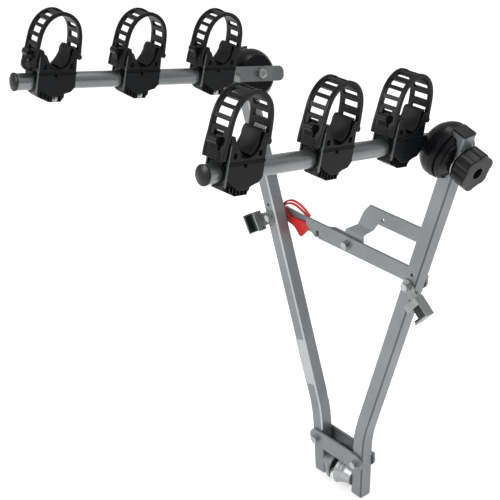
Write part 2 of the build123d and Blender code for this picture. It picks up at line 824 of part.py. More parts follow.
def make_arm_bolt(side, name):
    """Pivot bolt from the arm through both disc halves and the leg, with the knob's washer."""
    inner = arm_inset + arm_flat_thickness / 2
    outer = half_leg + knob_start + knob_length - knob_recess_depth
    with BuildPart() as bolt:
        with BuildSketch(disc_plane(side, inner)):
            Circle(washer_radius)
        extrude(amount=washer_thickness)
        with BuildSketch(disc_plane(side, inner + washer_thickness)):
            RegularPolygon(arm_head_across_flats / 2, 6, major_radius=False)
        extrude(amount=head_height)
        with BuildSketch(disc_plane(side, inner)):
            Circle(arm_bolt_radius)
        extrude(amount=-(inner + outer))
        with BuildSketch(disc_plane(side, -half_leg)):
            Circle(knob_core_radius - knob_edge)
            Circle(arm_bolt_radius + bolt_gap, mode=Mode.SUBTRACT)
        extrude(amount=-washer_thickness)
    finish(bolt, f"{name}_arm_bolt")


def make_arm_knob(side, name):
    """Six-lobed clamping knob outside the leg, recessed round the bolt's end."""
    with BuildPart() as knob:
        with BuildSketch(disc_plane(side, -half_leg - knob_start)):
            Circle(knob_core_radius)
            with PolarLocations(knob_radius - knob_lobe_radius, knob_lobes):
                Circle(knob_lobe_radius)
        extrude(amount=-knob_length)
        ends = knob.faces().filter_by(Axis(Vector(0, 0, 0), disc_plane(side, 0).z_dir))
        fillet(ends.edges(), knob_edge)
        hub_face = half_leg + washer_thickness + running_gap
        with BuildSketch(disc_plane(side, -hub_face)):
            Circle(knob_hub_radius)
        extrude(amount=hub_face - half_leg - knob_start - knob_edge)
        with BuildSketch(disc_plane(side, -half_leg)):
            Circle(arm_bolt_radius + bolt_gap)
        extrude(amount=-knob_start - knob_length, mode=Mode.SUBTRACT)
        with BuildSketch(disc_plane(side, -half_leg - knob_start - knob_length)):
            Circle(knob_recess_radius)
        extrude(amount=knob_recess_depth, mode=Mode.SUBTRACT)
    finish(knob, f"{name}_arm_knob")


def make_cradle_shell(side, station, name):
    """Lower body: a block round the arm tube, a narrower lobe below and a sleeve with its collar."""
    half = cradle_length / 2
    bore = arm_diameter / 2 + slide_gap
    with BuildPart() as shell:
        with BuildSketch(cradle_side(side, station, 0)):
            Polygon(*shell_underside, (-half, cradle_parting), (half, cradle_parting), align=None)
        extrude(amount=cradle_width / 2, both=True)
        with BuildSketch(cradle_side(side, station, 0)):
            Polygon(*shell_lobe, align=None)
        extrude(amount=shell_lobe_half_width, both=True)
        with BuildSketch(cradle_section(side, station, -half)):
            Circle(collar_radius)
        extrude(amount=cradle_length + collar_length)
        with BuildSketch(cradle_section(side, station, 0)):
            Circle(bore)
        extrude(amount=cradle_length, both=True, mode=Mode.SUBTRACT)
    finish(shell, f"{name}_shell")


def make_cradle_saddle(side, station, name):
    """Hollowed saddle for the bicycle's tube, with the strap's button in front and tooth bar behind."""
    half = cradle_length / 2
    inner = half - saddle_tab_top
    edge = sqrt(saddle_hollow_radius ** 2 - (saddle_hollow_radius - saddle_hollow_end) ** 2)
    centre = saddle_floor + saddle_hollow_radius
    with BuildPart() as saddle:
        with BuildSketch(cradle_side(side, station, 0)):
            with BuildLine():
                side_end = saddle_hollow_radius * cos(radians(saddle_hollow_end))
                side_low = centre - saddle_hollow_radius * sin(radians(saddle_hollow_end))
                Polyline(
                    (-side_end, side_low),
                    (-inner, saddle_height),
                    (-half, saddle_height),
                    (-half, cradle_parting),
                    (half, cradle_parting),
                    (half, saddle_height),
                    (inner, saddle_height),
                    (side_end, side_low),
                )
                ThreePointArc((side_end, side_low), (0, saddle_floor), (-side_end, side_low))
            outline = make_face()
            corners = outline.vertices().group_by(Axis.Y)[-1]
            fillet(corners, saddle_tab_corner)
        extrude(amount=cradle_width / 2, both=True)
        for offset, turn in ((cradle_width / 2, 1), (-cradle_width / 2, -1)):
            with BuildSketch(cradle_side(side, station, offset)):
                for along in (-side_pocket_along, side_pocket_along):
                    with Locations((along, side_pocket_rise)):
                        Rectangle(side_pocket_length, side_pocket_height)
            extrude(amount=turn * side_pocket_depth, mode=Mode.SUBTRACT)
        with BuildSketch(cradle_section(side, station, half)):
            with Locations((0, (button_low + button_high) / 2)):
                Rectangle(button_width, button_high - button_low)
        extrude(amount=button_depth)
        with BuildSketch(cradle_section(side, station, -half)):
            with Locations((0, (tooth_bar_low + tooth_bar_high) / 2)):
                Rectangle(tooth_bar_width, tooth_bar_high - tooth_bar_low)
        extrude(amount=-tooth_bar_depth)
    finish(saddle, f"{name}_saddle")


def make_cradle_pads(side, station, name):
    """Two rubber pads that line the saddle's hollow."""
    centre = saddle_floor + saddle_hollow_radius
    with BuildPart() as pads:
        with BuildSketch(cradle_side(side, station, 0)):
            for turn in (-1, 1):
                arcs = []
                for radius in (saddle_hollow_radius, saddle_hollow_radius - pad_thickness):
                    arcs.append([
                        (turn * radius * cos(radians(angle)), centre + radius * sin(radians(angle)))
                        for angle in (pad_low_end, (pad_low_end + pad_high_end) / 2, pad_high_end)
                    ])
                with BuildLine():
                    ThreePointArc(*arcs[0])
                    Line(arcs[0][-1], arcs[1][-1])
                    ThreePointArc(*arcs[1])
                    Line(arcs[1][0], arcs[0][0])
                make_face()
        extrude(amount=pad_width / 2, both=True)
    finish(pads, f"{name}_pads")


def shifted_inwards(outline, distance):
    """The outline's points moved square to it, towards the hoop's inside."""
    moved = []
    for count, (along, up) in enumerate(outline):
        before = outline[max(count - 1, 0)]
        after = outline[min(count + 1, len(outline) - 1)]
        run, rise = after[0] - before[0], after[1] - before[1]
        length = hypot(run, rise)
        moved.append((along - distance * rise / length, up + distance * run / length))
    return moved


def make_cradle_strap(side, station, name):
    """Ladder strap over the saddle: slotted band, its ends on the button and on the tooth bar."""
    inside = shifted_inwards(ladder_outline, ladder_thickness)
    reach = ladder_outline[0][0] + overrun
    with BuildPart() as strap:
        with BuildSketch(cradle_side(side, station, 0)):
            with BuildLine():
                Spline(*ladder_outline)
                Spline(*inside)
                Line(ladder_outline[0], inside[0])
                Line(ladder_outline[-1], inside[-1])
            make_face()
        extrude(amount=cradle_width / 2, both=True)
        ends = strap.edges().filter_by(lambda edge: edge.length < ladder_thickness + slide_gap)
        fillet(ends, ladder_thickness)
        with BuildSketch(cradle_section(side, station, 0)):
            with Locations((0, (button_low + button_high + button_slit) / 2)):
                Rectangle(button_width + 2 * seat_gap, button_high + button_slit - button_low + 2 * seat_gap)
        extrude(amount=reach, mode=Mode.SUBTRACT)
        level, up, along = cradle_directions(side)
        hub = arm_point(side, arm_inset, station) + up * ladder_hub_rise
        for way, angles in ((1, ladder_front_slots), (-1, ladder_back_slots)):
            for angle in angles:
                turn = radians(angle)
                look = Plane(origin=hub, x_dir=level, z_dir=along * (way * cos(turn)) + up * sin(turn))
                with BuildSketch(look):
                    Rectangle(ladder_slot_width, ladder_slot_height)
                extrude(amount=reach + overrun, mode=Mode.SUBTRACT)
    finish(strap, f"{name}_strap")


for side_name, side_sign in sides.items():
    make_leg(side_sign, side_name)
    make_leg_cap(side_sign, side_name)
    make_cup(side_sign, side_name)
    make_cup_liner(side_sign, side_name)
    make_leg_bolt(side_sign, side_name)
    clip_drop = clip_right_drop if side_sign > 0 else clip_left_drop
    make_clip_bracket(side_sign, side_name, clip_drop)
    make_clip_pad(side_sign, side_name, clip_drop)
    make_leg_disc(side_sign, side_name)
    make_arm_disc(side_sign, side_name)
    make_arm(side_sign, side_name)
    make_arm_cap(side_sign, side_name)
    make_arm_bolt(side_sign, side_name)
    make_arm_knob(side_sign, side_name)
    shares = right_station_shares if side_sign > 0 else left_station_shares
    for number, share in enumerate(shares, start=1):
        place = share * arm_length
        cradle = f"{side_name}_cradle_{number}"
        make_cradle_shell(side_sign, place, cradle)
        make_cradle_saddle(side_sign, place, cradle)
        make_cradle_pads(side_sign, place, cradle)
        make_cradle_strap(side_sign, place, cradle)

make_rear_foot_plate()
make_front_foot_plate()
make_foot_pivot_bolts()
make_strut_bar()
make_brace_lever()
make_brace_link()
make_link_pins()
make_lever_bolt()
make_safety_strap()
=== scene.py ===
import json
from math import asin, cos, pi, radians, sin, tan

import bmesh
import bpy
import numpy as np
from mathutils import Matrix, Vector


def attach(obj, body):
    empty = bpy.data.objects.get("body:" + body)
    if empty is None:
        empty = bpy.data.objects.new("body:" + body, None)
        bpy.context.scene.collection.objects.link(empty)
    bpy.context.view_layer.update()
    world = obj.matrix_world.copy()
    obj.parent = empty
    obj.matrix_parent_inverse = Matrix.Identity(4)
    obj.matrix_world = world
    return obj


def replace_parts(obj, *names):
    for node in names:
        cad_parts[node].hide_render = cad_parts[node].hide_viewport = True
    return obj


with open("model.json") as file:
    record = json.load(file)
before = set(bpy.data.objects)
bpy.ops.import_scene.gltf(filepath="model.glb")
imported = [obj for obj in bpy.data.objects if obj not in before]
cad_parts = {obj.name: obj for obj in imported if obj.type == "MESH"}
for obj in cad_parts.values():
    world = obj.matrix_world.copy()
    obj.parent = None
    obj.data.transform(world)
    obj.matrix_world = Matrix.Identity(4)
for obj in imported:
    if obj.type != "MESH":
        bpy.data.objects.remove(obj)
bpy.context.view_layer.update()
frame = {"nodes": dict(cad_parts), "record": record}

# Lengths are millimetres, and MM turns them into the scene's metres
MM = 0.001

# Places taken from the model
LEAN = radians(17.53)
FOOT_LEAN = radians(2.46)
PITCH = asin(0.219)
ARM_PIVOT = (237.911, 687.087)
ARM_INSET = 45.3
BRACE = (163.483, 451.462)
LEVER_PIVOT = (-1.5, 449.662)
FOOT = (50.8, 43.8)
KNEE_RISE = 59
BEND_RADIUS = 220
STATIONS = {"left": (96, 239, 385), "right": (82, 228, 392)}
SIDES = {"left": -1, "right": 1}

# Directions, in the scene or in a local frame
SIDEWAYS, UPWARDS = (1, 0, 0), (0, 0, 1)
FORWARDS, BACKWARDS = (0, 1, 0), (0, -1, 0)

# Axes that take an outline's two values and its levels, for outlines seen from the side and from behind
FROM_SIDE = (2, 1, 0)
FROM_BEHIND = (0, 2, 1)

# Values that all finishes share: noise, wear, specks, relief and the render's rounding of edges
TEXTURE_RANGE = (0.3, 0.7)
NOISE_ROUGHNESS = 0.6
DRIFT_DETAIL = 4.0
WEAR_DETAIL = 3.0
WEAR_TO_PATCH = 4
SPECK_DETAIL = 1.0
SPECK_TO_GRAIN = 0.6
SPECK_RANGE = (0.66, 0.74)
GRAIN_DETAIL = 2.0
RELIEF_DEPTH = 0.3
ROUNDING_SAMPLES = 4

# The Mix node's sockets for colours
MIX_COLOURS_IN = (6, 7)
MIX_COLOUR_OUT = 2


def noise(tree, scale, detail):
    """Noise in the piece's own metres."""
    point = tree.nodes.new("ShaderNodeTexCoord").outputs["Object"]
    node = tree.nodes.new("ShaderNodeTexNoise")
    node.inputs["Scale"].default_value = scale
    node.inputs["Detail"].default_value = detail
    node.inputs["Roughness"].default_value = NOISE_ROUGHNESS
    tree.links.new(point, node.inputs["Vector"])
    return node.outputs["Fac"]


def spread(tree, value, low, high, span=TEXTURE_RANGE):
    """Map a span of values to low .. high."""
    node = tree.nodes.new("ShaderNodeMapRange")
    node.inputs["From Min"].default_value = span[0]
    node.inputs["From Max"].default_value = span[1]
    node.inputs["To Min"].default_value = low
    node.inputs["To Max"].default_value = high
    tree.links.new(value, node.inputs["Value"])
    return node.outputs["Result"]


def mix_colour(tree, factor, first, second):
    """Mix two colours, each of them a tuple or another node's output."""
    node = tree.nodes.new("ShaderNodeMix")
    node.data_type = "RGBA"
    tree.links.new(factor, node.inputs["Factor"])
    for socket, value in zip(MIX_COLOURS_IN, (first, second)):
        if isinstance(value, tuple):
            node.inputs[socket].default_value = (*value, 1)
        else:
            tree.links.new(value, node.inputs[socket])
    return node.outputs[MIX_COLOUR_OUT]


def new_material(name):
    """A material with its node tree and shader."""
    material = bpy.data.materials.new(name)
    material.use_nodes = True
    return material, material.node_tree, material.node_tree.nodes["Principled BSDF"]


def finish(name, dark, light, rough, metal=0.0, patch=9.0, grain=900.0, bump=0.1, edge=0.5,
           specks=None, gloss=0.5):
    """A finish whose colour and roughness drift a little, with a fine grain and soft edges.

    patch and grain are noise scales per metre, and edge is the radius of its edges.
    """
    material, tree, shader = new_material(name)
    drift = noise(tree, patch, DRIFT_DETAIL)
    colour = mix_colour(tree, spread(tree, drift, 0, 1), dark, light)
    if specks:
        spots = noise(tree, grain * SPECK_TO_GRAIN, SPECK_DETAIL)
        colour = mix_colour(tree, spread(tree, spots, 0, 1, SPECK_RANGE), colour, specks)
    tree.links.new(colour, shader.inputs["Base Color"])
    worn = noise(tree, patch * WEAR_TO_PATCH, WEAR_DETAIL)
    tree.links.new(spread(tree, worn, *rough), shader.inputs["Roughness"])
    shader.inputs["Metallic"].default_value = metal
    shader.inputs["Specular IOR Level"].default_value = gloss
    rounding = tree.nodes.new("ShaderNodeBevel")
    rounding.samples = ROUNDING_SAMPLES
    rounding.inputs["Radius"].default_value = edge * MM
    relief = tree.nodes.new("ShaderNodeBump")
    relief.inputs["Strength"].default_value = bump
    relief.inputs["Distance"].default_value = RELIEF_DEPTH * MM
    tree.links.new(noise(tree, grain, GRAIN_DETAIL), relief.inputs["Height"])
    tree.links.new(rounding.outputs["Normal"], relief.inputs["Normal"])
    tree.links.new(relief.outputs["Normal"], shader.inputs["Normal"])
    return material


LOOKS = {
    "frame_coat": dict(
        dark=(0.165, 0.174, 0.182), light=(0.225, 0.236, 0.245), rough=(0.34, 0.46), metal=0.5,
        bump=0.2, edge=1.6, specks=(0.27, 0.28, 0.29)),
    "arm_tube": dict(
        dark=(0.17, 0.18, 0.182), light=(0.23, 0.242, 0.245), rough=(0.24, 0.34), metal=0.75, bump=0.06),
    "cast_cup": dict(
        dark=(0.29, 0.3, 0.305), light=(0.43, 0.44, 0.445), rough=(0.36, 0.5), metal=0.95,
        patch=30.0, grain=500.0, bump=0.2, edge=1.2),
    "liner_rubber": dict(
        dark=(0.006, 0.006, 0.006), light=(0.012, 0.012, 0.012), rough=(0.6, 0.75), gloss=0.2),
    "zinc_hardware": dict(
        dark=(0.3, 0.315, 0.31), light=(0.46, 0.475, 0.465), rough=(0.22, 0.36), metal=1.0,
        patch=40.0, grain=1200.0, edge=0.6),
    "brace_steel": dict(
        dark=(0.17, 0.179, 0.187), light=(0.23, 0.241, 0.25), rough=(0.3, 0.42), metal=0.55,
        bump=0.14, edge=0.8, specks=(0.28, 0.29, 0.3)),
    "red_rubber": dict(
        dark=(0.42, 0.006, 0.006), light=(0.56, 0.012, 0.01), rough=(0.34, 0.48), patch=30.0, edge=1.5),
    "clip_zinc": dict(
        dark=(0.2, 0.215, 0.21), light=(0.33, 0.345, 0.335), rough=(0.36, 0.5), metal=0.85,
        patch=40.0, bump=0.12, edge=0.8),
    "clip_rubber": dict(
        dark=(0.008, 0.011, 0.011), light=(0.016, 0.02, 0.02), rough=(0.4, 0.55), gloss=0.3),
    "pad_rubber": dict(
        dark=(0.009, 0.0082, 0.008), light=(0.015, 0.0138, 0.0135), rough=(0.5, 0.65),
        bump=0.3, edge=2.0, gloss=0.2),
    "strap_rubber": dict(
        dark=(0.003, 0.0035, 0.004), light=(0.007, 0.0075, 0.0088), rough=(0.3, 0.44),
        bump=0.12, edge=0.9, gloss=0.2),
    "cradle_plastic": dict(
        dark=(0.0022, 0.0027, 0.0033), light=(0.005, 0.006, 0.0072), rough=(0.2, 0.32),
        bump=0.3, edge=1.6, gloss=0.15),
    "disc_plastic": dict(
        dark=(0.003, 0.0032, 0.004), light=(0.006, 0.0064, 0.008), rough=(0.2, 0.3),
        bump=0.12, edge=1.4, gloss=0.16),
    "knob_plastic": dict(
        dark=(0.005, 0.0055, 0.0055), light=(0.01, 0.0105, 0.011), rough=(0.36, 0.48),
        bump=0.3, edge=1.4, gloss=0.26),
    "cap_plastic": dict(
        dark=(0.004, 0.0045, 0.005), light=(0.01, 0.0105, 0.012), rough=(0.28, 0.4), edge=0.8, gloss=0.3),
    # Lighter than the cradle plastic it stands on: a painted highlight along the fins
    "fin_painted_highlight": dict(
        dark=(0.03, 0.034, 0.038), light=(0.07, 0.075, 0.08), rough=(0.16, 0.26), gloss=0.9),
    # Near-black and matte: painted shade in the parting groove and its marks
    "groove_shade": dict(
        dark=(0.0012, 0.0014, 0.0016), light=(0.002, 0.0022, 0.0026), rough=(0.7, 0.8), gloss=0.05),
    # A painted highlight along the left leg's inner corner
    "leg_painted_highlight": dict(
        dark=(0.42, 0.44, 0.45), light=(0.56, 0.58, 0.59), rough=(0.3, 0.4), metal=0.3, edge=0.2),
    # A painted shade line along the right leg's outer corner
    "leg_painted_shade": dict(
        dark=(0.07, 0.075, 0.08), light=(0.1, 0.107, 0.112), rough=(0.4, 0.5), metal=0.3, edge=0.2),
    "label_paper": dict(
        dark=(0.34, 0.35, 0.36), light=(0.42, 0.43, 0.44), rough=(0.35, 0.5), bump=0.04),
}
FINISHES = {name: finish(name, **look) for name, look in LOOKS.items()}

for subpart in frame["record"]["subparts"]:
    solid = frame["nodes"][subpart["node"]]
    solid_finish = FINISHES[subpart["material_slot"]]
    for slot in solid.material_slots:
        slot.link = "OBJECT"
        slot.material = solid_finish
    if not solid.material_slots:
        solid.data.materials.append(solid_finish)

SHARP_ANGLE = radians(32)


class Shape:
    """Collects blocks, prisms, turned forms and strips in a local frame, then makes one piece of them."""

    def __init__(self):
        self.points = []
        self.faces = []

    def take(self, points, faces):
        """Add points, and faces that count them from 0."""
        start = len(self.points)
        self.points += [Vector(point) for point in points]
        self.faces += [[start + corner for corner in face] for face in faces]

    def join(self, rings):
        """Join rings of equally many points, one after the other, and close both ends."""
        size = len(rings[0])
        last = (len(rings) - 1) * size
        faces = [list(range(size)), list(range(last, last + size))]
        for start in range(0, last, size):
            for step in range(size):
                this = start + step
                other = start + (step + 1) % size
                faces.append([this, other, other + size, this + size])
        self.take([point for ring in rings for point in ring], faces)

    def prism(self, outline, low, high, axes=(0, 1, 2)):
        """Extrude an outline given in two axes along the third."""
        rings = []
        for level in (low, high):
            ring = []
            for values in outline:
                point = [0, 0, 0]
                for axis, value in zip(axes, (*values, level)):
                    point[axis] = value
                ring.append(point)
            rings.append(ring)
        self.join(rings)

    def block(self, centre, size):
        x, y, z = centre
        half_x, half_y, half_z = (length / 2 for length in size)
        outline = [(x - half_x, y - half_y), (x + half_x, y - half_y),
                   (x + half_x, y + half_y), (x - half_x, y + half_y)]
        self.prism(outline, z - half_z, z + half_z)

    def pair(self, centre, size):
        """A block on each side of the middle."""
        for way in (-1, 1):
            self.block((way * centre[0], *centre[1:]), size)

    def turn(self, profile, centre, axis, steps):
        """Turn a profile of (radius, height) pairs round an axis."""
        axis = Vector(axis).normalized()
        side = axis.orthogonal().normalized()
        other = axis.cross(side)
        angles = [2 * pi * step / steps for step in range(steps)]
        spokes = [side * cos(angle) + other * sin(angle) for angle in angles]
        self.join([[Vector(centre) + axis * height + spoke * radius for spoke in spokes]
                   for radius, height in profile])

    def strip(self, path, near, far, low, high):
        """A strip along a path of (along, up) points, from low to high above it, near to far sideways."""
        rings = []
        for number, (along, up) in enumerate(path):
            after = np.array(path[min(number + 1, len(path) - 1)])
            before = np.array(path[max(number - 1, 0)])
            run = (after - before) / np.linalg.norm(after - before)
            rings.append([(x, up - run[0] * height, along + run[1] * height)
                          for x, height in ((near, low), (far, low), (far, high), (near, high))])
        self.join(rings)

    def make(self, name, slot, body, place=None, smooth=True):
        """Turn all that was collected into one piece that rides on a body."""
        place = place or Matrix.Identity(4)
        mesh = bpy.data.meshes.new(name)
        mesh.from_pydata([place @ (point * MM) for point in self.points], [], self.faces)
        mesh.validate()
        work = bmesh.new()
        work.from_mesh(mesh)
        bmesh.ops.recalc_face_normals(work, faces=work.faces)
        work.to_mesh(mesh)
        work.free()
        piece = bpy.data.objects.new(name, mesh)
        bpy.context.scene.collection.objects.link(piece)
        mesh.materials.append(FINISHES[slot])
        if smooth:
            for face in mesh.polygons:
                face.use_smooth = True
            mesh.set_sharp_from_angle(angle=SHARP_ANGLE)
        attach(piece, body)
        return piece


def arm_axes(side):
    """Directions across an arm and along it to its tip."""
    across = Vector((cos(LEAN), 0, -side * sin(LEAN)))
    along = Vector((side * sin(LEAN) * sin(PITCH), -cos(PITCH), cos(LEAN) * sin(PITCH)))
    return across, along


def arm_pivot(side):
    return Vector((side * ARM_PIVOT[0], 0, ARM_PIVOT[1]))


def frame_at(origin, x, y, z):
    """Matrix of a local frame, from its origin and the directions of its axes."""
    turned = Matrix((x, y, z)).transposed()
    return Matrix.Translation(Vector(origin) * MM) @ turned.to_4x4()


def cradle_frame(side, station):
    """Local x is level, y up and z along the arm to its tip."""
    across, along = arm_axes(side)
    level = (Vector(SIDEWAYS) - along * along.x).normalized()
    origin = arm_pivot(side) - across * (side * ARM_INSET) + along * station
    return frame_at(origin, level, along.cross(level), along)


def smooth_path(points, steps=6):
    """Natural cubic curve through the points, by chord length."""
    points = np.array(points, float)
    chords = np.linalg.norm(np.diff(points, axis=0), axis=1)
    # The bends are the curve's second derivatives at the points, and none at its ends
    system = np.eye(len(points))
    known = np.zeros((len(points), 2))
    for i in range(1, len(points) - 1):
        before, after = chords[i - 1], chords[i]
        system[i, i - 1:i + 2] = before, 2 * (before + after), after
        known[i] = 6 * ((points[i + 1] - points[i]) / after - (points[i] - points[i - 1]) / before)
    bend = np.linalg.solve(system, known)
    path = []
    for i, chord in enumerate(chords):
        first = points[i] / chord - bend[i] * chord / 6
        second = points[i + 1] / chord - bend[i + 1] * chord / 6
        for step in range(steps):
            passed = step / steps * chord
            left = chord - passed
            curve = (bend[i] * left ** 3 + bend[i + 1] * passed ** 3) / (6 * chord)
            path.append(curve + first * left + second * passed)
    path.append(points[-1])
    return [tuple(point) for point in path]


# Ladder strap: its outline as (along, up), rails on its edges and bars below its button
STRAP_OUTLINE = [(40.5, 19.0), (38.5, 36.0), (35.6, 50.0), (31.5, 72.0), (25.0, 87.0), (13.0, 99.0),
                 (-3.0, 104.0), (-20.0, 98.5), (-31.5, 85.5), (-35.6, 69.0), (-35.8, 54.0), (-35.6, 38.0)]
STRAP_PATH = smooth_path(STRAP_OUTLINE)
RAIL_NEAR, RAIL_FAR = 14.6, 18.3
RAIL_LOW, RAIL_HIGH = -0.4, 0.9
BAR_HEIGHTS = (21.0, 24.5, 28.0)
BAR_ALONG = 40.0
BAR_SIZE = (22, 1.4, 2.6)


def rails(body, place):
    shape = Shape()
    for near, far in ((RAIL_NEAR, RAIL_FAR), (-RAIL_FAR, -RAIL_NEAR)):
        shape.strip(STRAP_PATH, near, far, RAIL_LOW, RAIL_HIGH)
    for height in BAR_HEIGHTS:
        shape.block((0, height, BAR_ALONG), BAR_SIZE)
    shape.make(f"{body}_rails", "strap_rubber", body, place)


# Parting line, as (centre, size): a band round the cradle, and a mark on each of its sides; the groove's
# band and marks are near-black strips of painted shade under the lip and in the marks' recesses
LIP_BAND = ((0, 15.6, 0), (39.2, 1.2, 62.8))
LIP_MARK = ((19.2, 11.6, -0.6), (1.2, 6.6, 1.6))
GROOVE_SHADE_BAND = ((0, 14.2, 0), (38.5, 1.6, 62.4))
GROOVE_SHADE_MARK = ((19.1, 12.4, 2.2), (0.5, 5.2, 3.4))


def parting_line(name, slot, body, place, band, mark):
    shape = Shape()
    shape.block(*band)
    shape.pair(*mark)
    shape.make(name, slot, body, place)


# Raised edge beside the arm, on both sides, in a lighter, glossier finish whose colour is a painted
# highlight
FIN_OUTLINE = [(29.2, 40), (30.4, 40), (33.8, -8), (33.4, -13), (31.6, -13), (30.9, 8)]
FIN_NEAR, FIN_FAR = 17.4, 19.5


def fins(body, place):
    shape = Shape()
    for way in (-1, 1):
        shape.prism(FIN_OUTLINE, way * FIN_NEAR, way * FIN_FAR, FROM_SIDE)
    shape.make(f"{body}_fins", "fin_painted_highlight", body, place)


# Ribs under the cradle, on a foot: where each starts along the arm, and how far down it goes
RIBS = {-11.0: -27.5, -5.0: -27.5, 1.0: -27.5, 7.0: -27.5, 13.0: -23.5, 19.0: -23.5}
RIB_TOP = -15
RIB_THICKNESS = 1.6
RIB_NEAR, RIB_FAR = 11.0, 14.2
RIB_FOOT = ((12.2, -27.9, -1.5), (2.2, 1.6, 21))


def ribs(body, place):
    shape = Shape()
    for way in (-1, 1):
        for along, low in RIBS.items():
            end = along + RIB_THICKNESS
            outline = [(along, low), (end, low), (end, RIB_TOP), (along, RIB_TOP)]
            shape.prism(outline, way * RIB_NEAR, way * RIB_FAR, FROM_SIDE)
    shape.pair(*RIB_FOOT)
    shape.make(f"{body}_ribs", "cradle_plastic", body, place)


# Clamp screw with its nut towards the middle of the carrier, as (radius, height)
NUT_PROFILE = [(4.9, 11.2), (4.9, 14.6)]
NUT_SIDES = 6
SCREW_PROFILE = [(2.7, 11.2), (2.7, 17.4), (2.2, 18)]
SCREW_STEPS = 20
SCREW_PLACE = (0, -24.2, -0.6)


def screw(body, place, side):
    shape = Shape()
    shape.turn(NUT_PROFILE, SCREW_PLACE, SIDEWAYS, NUT_SIDES)
    shape.turn(SCREW_PROFILE, SCREW_PLACE, SIDEWAYS, SCREW_STEPS)
    shape.points = [Vector((-side * point.x, point.y, point.z)) for point in shape.points]
    shape.make(f"{body}_screw", "zinc_hardware", body, place, smooth=False)


# Pads with round backs and nearly flat faces, one lapping over the saddle's arm on the leg's side
PAD_HALF_WIDTH = 15.5
SADDLE_RADIUS = 20.25
SADDLE_RISE = 41
PAD_BACK_ANGLES = range(6, -77, -6)
PAD_BACK = [(SADDLE_RADIUS * cos(radians(angle)), SADDLE_RISE + SADDLE_RADIUS * sin(radians(angle)))
            for angle in PAD_BACK_ANGLES]
PAD_FACE = [(5.4, 23.6), (9.0, 27.2), (13.6, 33.6), (17.2, 41.0)]
PAD_LAP = [(17.8, 47), (20.4, 52), (23, 53.4), (26.5, 53), (27.5, 51.2), (21, 50.6), (20.3, 46)]


def pad_faces(body, place):
    shape = Shape()
    shape.prism(PAD_BACK + PAD_FACE, -PAD_HALF_WIDTH, PAD_HALF_WIDTH, FROM_SIDE)
    lapping = [(-along, up) for along, up in PAD_BACK + PAD_FACE + PAD_LAP]
    shape.prism(lapping, -PAD_HALF_WIDTH, PAD_HALF_WIDTH, FROM_SIDE)
    cover = shape.make(f"{body}_pad_faces", "pad_rubber", body, place)
    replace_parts(cover, f"{body}_pads")


# Rounded strap button and the strap's hooked end, as (centre, reach along and up, half width)
BUTTON = ((41.6, 43.6), (4.6, 5.4), 8.4)
HOOK = ((-34.6, 38.4), (3.9, 4.1), 18.2)
OVAL_ANGLES = range(0, 360, 20)


def button_and_hook(body, place):
    shape = Shape()
    for centre, reach, half_width in (BUTTON, HOOK):
        outline = [(centre[0] + reach[0] * cos(radians(angle)), centre[1] + reach[1] * sin(radians(angle)))
                   for angle in OVAL_ANGLES]
        shape.prism(outline, -half_width, half_width, FROM_SIDE)
    shape.make(f"{body}_button_and_hook", "strap_rubber", body, place)


for side_name, side in SIDES.items():
    for number, station in enumerate(STATIONS[side_name], start=1):
        body = f"{side_name}_cradle_{number}"
        place = cradle_frame(side, station)
        rails(body, place)
        parting_line(f"{body}_lip", "cradle_plastic", body, place, LIP_BAND, LIP_MARK)
        # The groove pieces are painted shade under the lip
        parting_line(f"{body}_groove", "groove_shade", body, place, GROOVE_SHADE_BAND, GROOVE_SHADE_MARK)
        fins(body, place)
        ribs(body, place)
        screw(body, place, side)
        pad_faces(body, place)
        button_and_hook(body, place)

# Pull loop on the outermost left strap
LOOP_ROUTE = [(40.5, 40.5), (46.0, 41.0), (51.0, 38.0), (53.4, 31.5), (51.0, 25.0), (45.0, 21.6),
              (38.5, 20.0)]
LOOP_NEAR, LOOP_FAR = 10.0, 15.0
LOOP_HALF_THICKNESS = 2.4

loop = Shape()
loop.strip(smooth_path(LOOP_ROUTE), LOOP_NEAR, LOOP_FAR, -LOOP_HALF_THICKNESS, LOOP_HALF_THICKNESS)
loop.make("left_cradle_3_pull_loop", "strap_rubber", "left_cradle_3",
          cradle_frame(SIDES["left"], STATIONS["left"][-1]))

# Turns of thread on the bolts' free ends
THREAD_RADIUS = 4.0
THREAD_LENGTH = 5.9
THREAD_START = 0.2
THREAD_PITCH = 1.0
THREAD_CREST, THREAD_ROOT = 0.32, 0.05
THREAD_STEPS = 32


def threads(name, body, start):
    profile = [(THREAD_RADIUS, 0)]
    height = THREAD_START
    while height < THREAD_LENGTH:
        profile.append((THREAD_RADIUS + THREAD_CREST, height))
        profile.append((THREAD_RADIUS + THREAD_ROOT, height + THREAD_PITCH / 2))
        height += THREAD_PITCH
    profile.append((THREAD_RADIUS, THREAD_LENGTH))
    shape = Shape()
    shape.turn(profile, start, FORWARDS, THREAD_STEPS)
    shape.make(name, "zinc_hardware", body)


# Raised round faces on the bolts' hexagon heads, as (past the radius, height)
HEAD_PROFILE = [(0, -0.1), (0, 0.25), (-0.7, 0.6), (-2.2, 0.6), (-2.6, 0.35)]
HEAD_RADIUS, ARM_HEAD_RADIUS = 5.9, 7.2
HEAD_STEPS = 40


def head_mark(name, body, centre, axis=BACKWARDS, radius=HEAD_RADIUS):
    shape = Shape()
    shape.turn([(radius + past, height) for past, height in HEAD_PROFILE], centre, axis, HEAD_STEPS)
    shape.make(name, "zinc_hardware", body)


# Where the threads start and the heads end, forwards of the legs' middle or inwards of the arm's pivot
FOOT_THREAD, FOOT_HEAD = 23.3, -23.7
LEG_HEAD, ARM_HEAD = -22.3, 54.7
LEVER_THREAD, LEVER_HEAD = 27.7, 5.9
STRUT_THREAD = 23.4

